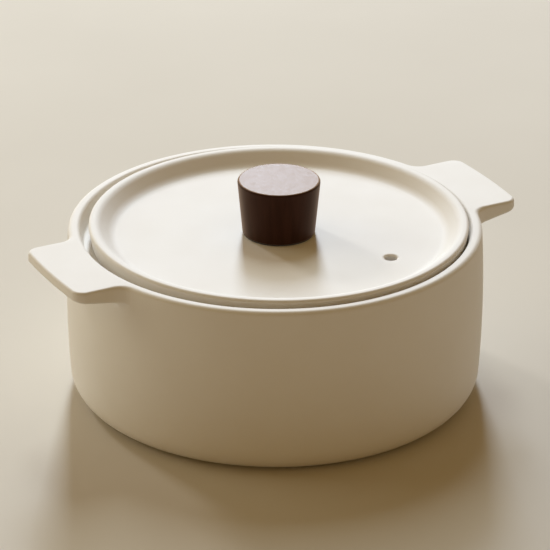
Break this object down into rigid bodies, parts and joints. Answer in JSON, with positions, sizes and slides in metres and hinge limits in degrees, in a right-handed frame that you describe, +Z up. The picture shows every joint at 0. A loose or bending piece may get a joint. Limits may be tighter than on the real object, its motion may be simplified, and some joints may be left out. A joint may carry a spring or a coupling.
{
  "type": "lidded earthenware pot",
  "caption": "Round straight-sided earthenware cooking pot with flat ear handles and a recessed lid that lifts off by a dark wooden knob, with a steam vent in the lid.",
  "frame": {"origin": "middle of the pot's base, on the surface that it stands on", "axes": "+X along the two handles, +Z up through the pot's mouth, +Y completes the right-handed frame"},
  "size_m": [0.2652, 0.2224, 0.1192],
  "materials": {
    "glaze": "matte cream-white glaze",
    "dark_wood": "dark stain under satin lacquer",
    "brass": "machined",
    "silicone": "matte black silicone",
    "stainless": "stainless, as machined"
  },
  "bodies": {
    "pot": {"pot_body": "glaze"},
    "lid": {"lid": "glaze", "knob": "dark_wood", "knob_insert": "brass", "knob_gasket": "silicone", "lid_washer": "silicone", "screw_washer": "stainless", "knob_screw": "stainless"}
  },
  "joints": [
    {"name": "lid_lift", "type": "slide", "parent": "pot", "child": "lid", "axis": [0, 0, 1], "range_m": [0, 0.12]}
  ]
}
